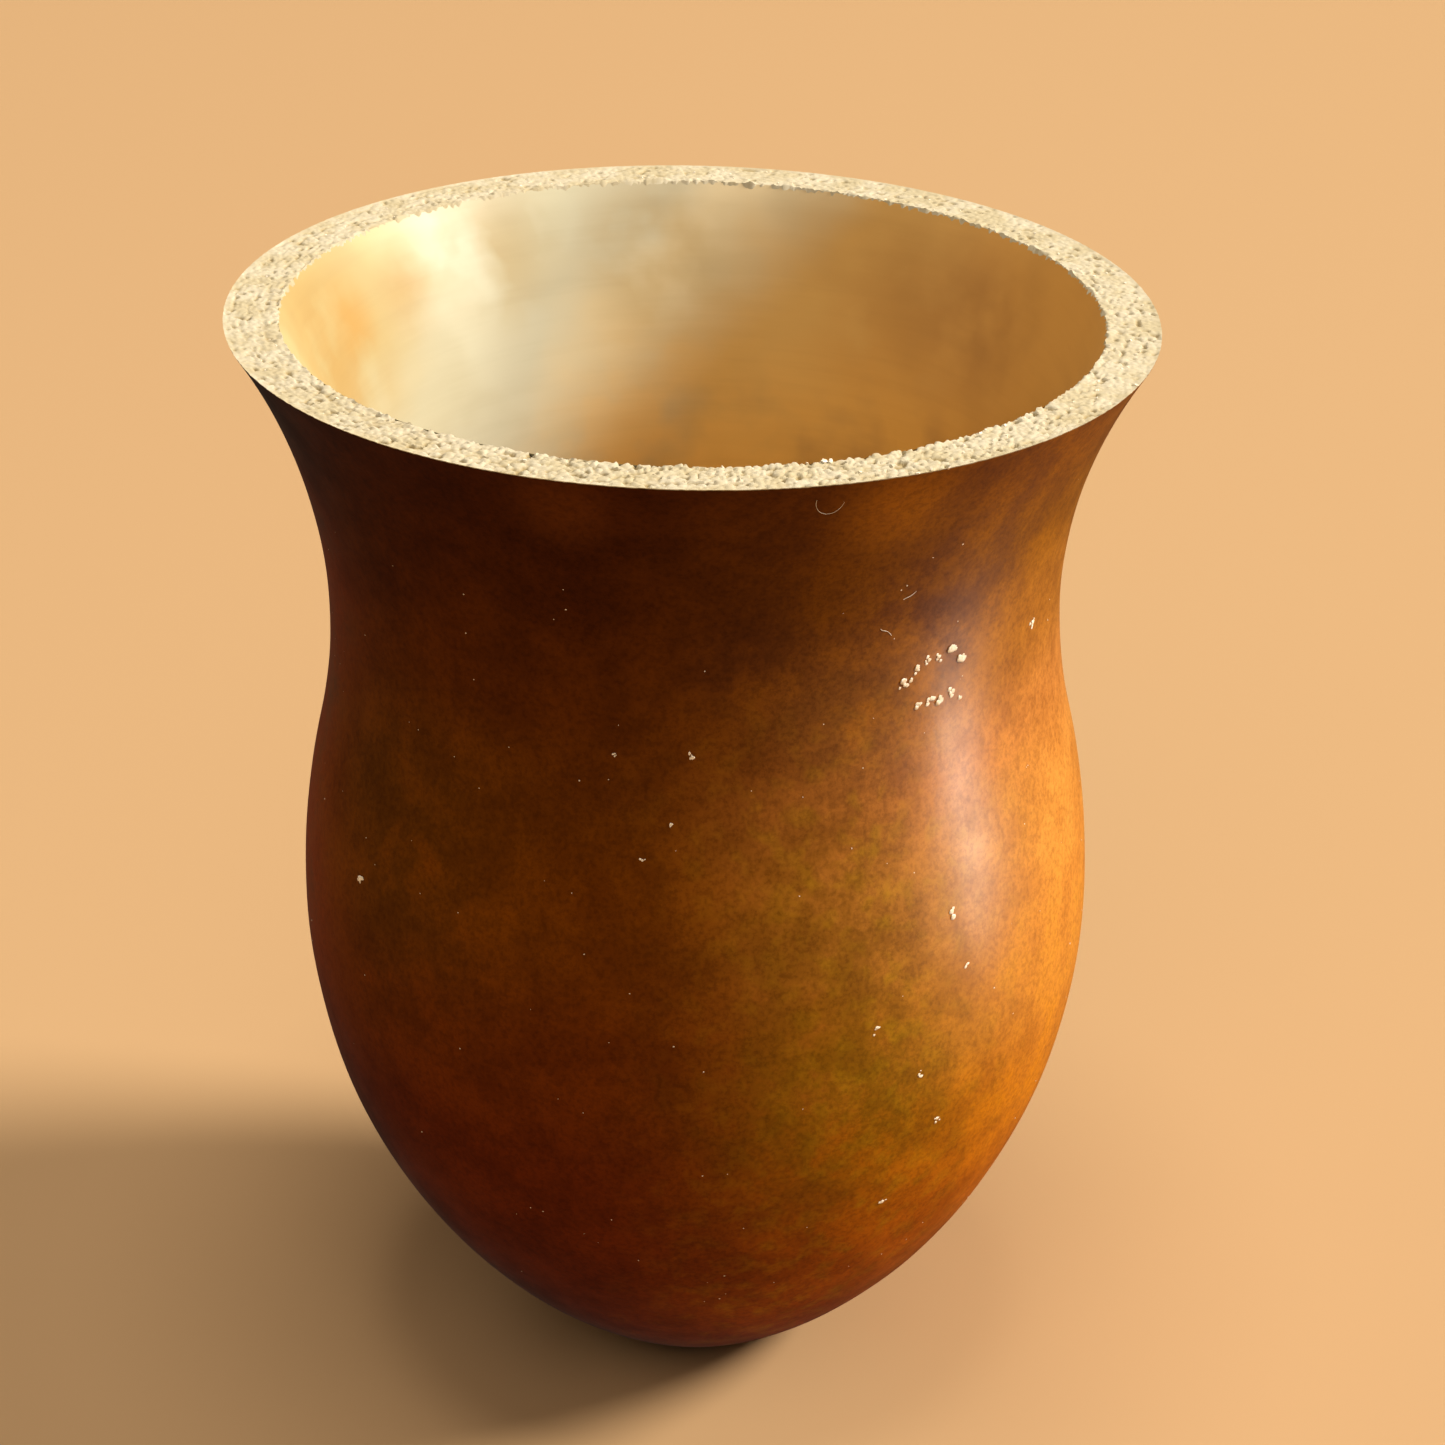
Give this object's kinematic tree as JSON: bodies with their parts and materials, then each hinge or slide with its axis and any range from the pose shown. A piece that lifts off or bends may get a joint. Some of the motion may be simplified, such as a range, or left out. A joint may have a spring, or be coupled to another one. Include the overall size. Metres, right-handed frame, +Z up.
{
  "type": "gourd cup",
  "caption": "Handleless drinking cup of dried gourd: flared sawn rim, narrow waist, round belly and small sanded foot, hollow inside to hold a drink.",
  "frame": {"origin": "middle of the sanded foot, on the table", "axes": "+Z up along the cup's axis, -Y towards the viewer of the picture, +X to that viewer's right"},
  "size_m": [0.0801, 0.08, 0.102],
  "materials": {
    "rind": "satin, mottled brown",
    "pith": "matte, open pores",
    "lining": "satin, smooth",
    "stem": "matte, corky"
  },
  "bodies": {
    "root": {"outer_rind": "rind", "pith_wall": "pith", "inner_lining": "lining", "stem_plug": "stem"}
  },
  "joints": []
}
